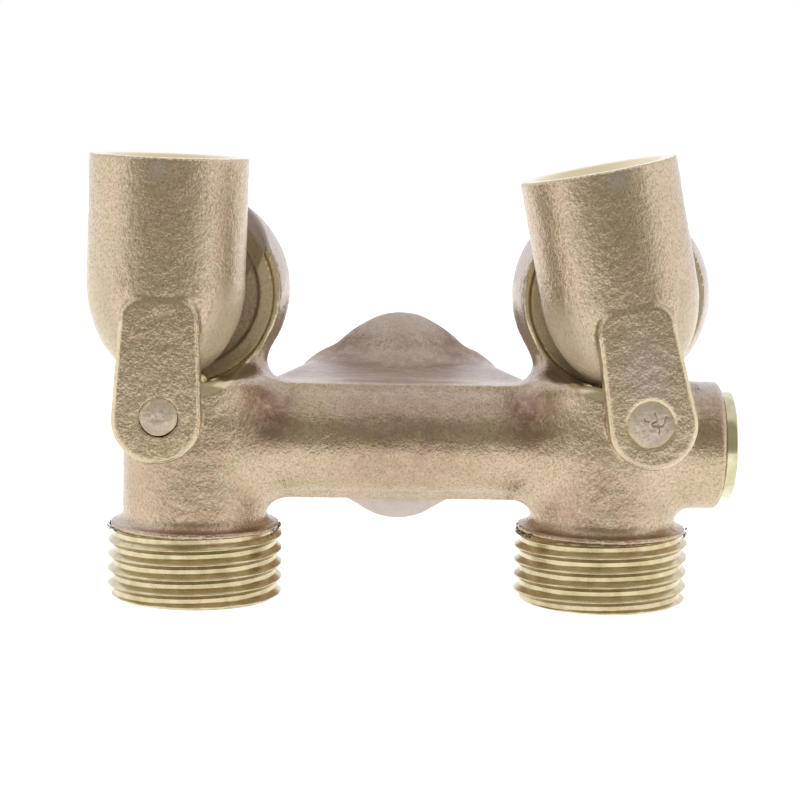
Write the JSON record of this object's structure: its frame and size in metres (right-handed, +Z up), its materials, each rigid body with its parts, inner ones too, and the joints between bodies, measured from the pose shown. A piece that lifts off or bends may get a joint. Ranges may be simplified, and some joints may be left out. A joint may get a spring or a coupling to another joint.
{
  "type": "hose splitter",
  "caption": "Cast brass hose splitter: hexagonal rear inlet, crosspipe, threaded hose outlets, and hinged socket levers whose ball ends push spring-closed outlet valves.",
  "frame": {"origin": "middle of the bounding box, on the plane of the outlet ends that the part stands on", "axes": "+Z up along the outlets, +X along the crosspipe towards the plugged end, +Y to the rear, out of the inlet"},
  "size_m": [0.098, 0.0548, 0.0683],
  "materials": {
    "cast_brass": "raw sand-cast brass, matt and granular, with reddish stains",
    "lever_brass": "raw sand-cast brass, matt and granular, machined on the rim",
    "turned_brass": "bright turned brass",
    "rivet_brass": "peened brass rivet head",
    "rubber": "black rubber",
    "steel": "stainless spring steel"
  },
  "bodies": {
    "manifold": {"manifold_body": "cast_brass", "end_plug": "turned_brass", "plug_seal": "rubber", "inlet_washer": "rubber", "left_hinge_pin": "rivet_brass", "left_gland_bush": "turned_brass", "left_stem_seal": "rubber", "left_return_spring": "steel", "left_spring_plate": "turned_brass", "left_retaining_ring": "steel", "right_hinge_pin": "rivet_brass", "right_gland_bush": "turned_brass", "right_stem_seal": "rubber", "right_return_spring": "steel", "right_spring_plate": "turned_brass", "right_retaining_ring": "steel"},
    "left_lever": {"left_lever": "lever_brass"},
    "right_lever": {"right_lever": "lever_brass"},
    "left_stem": {"left_valve_stem": "turned_brass", "left_seat_washer": "rubber"},
    "right_stem": {"right_valve_stem": "turned_brass", "right_seat_washer": "rubber"}
  },
  "joints": [
    {"name": "left_lever_tilt", "type": "hinge", "parent": "manifold", "child": "left_lever", "pos_m": [-0.03714, -0.02517, 0.0293], "axis": [0, 1, 0], "range_deg": [-1.1, 13.9]},
    {"name": "right_lever_tilt", "type": "hinge", "parent": "manifold", "child": "right_lever", "pos_m": [0.03454, -0.02517, 0.0293], "axis": [0, -1, 0], "range_deg": [-11.6, 3.4]},
    {"name": "left_stem_slide", "type": "slide", "parent": "manifold", "child": "left_stem", "axis": [0, 0, -1], "range_m": [-0.00011, 0.00132], "deforming": ["left_return_spring"]},
    {"name": "right_stem_slide", "type": "slide", "parent": "manifold", "child": "right_stem", "axis": [0, 0, -1], "range_m": [-0.0011, 0.00033], "deforming": ["right_return_spring"]}
  ],
  "couplings": [
    {"joint": "left_stem_slide", "follows": "left_lever_tilt", "m_per_rad": 0.0054093},
    {"joint": "right_stem_slide", "follows": "right_lever_tilt", "m_per_rad": 0.0054093}
  ]
}
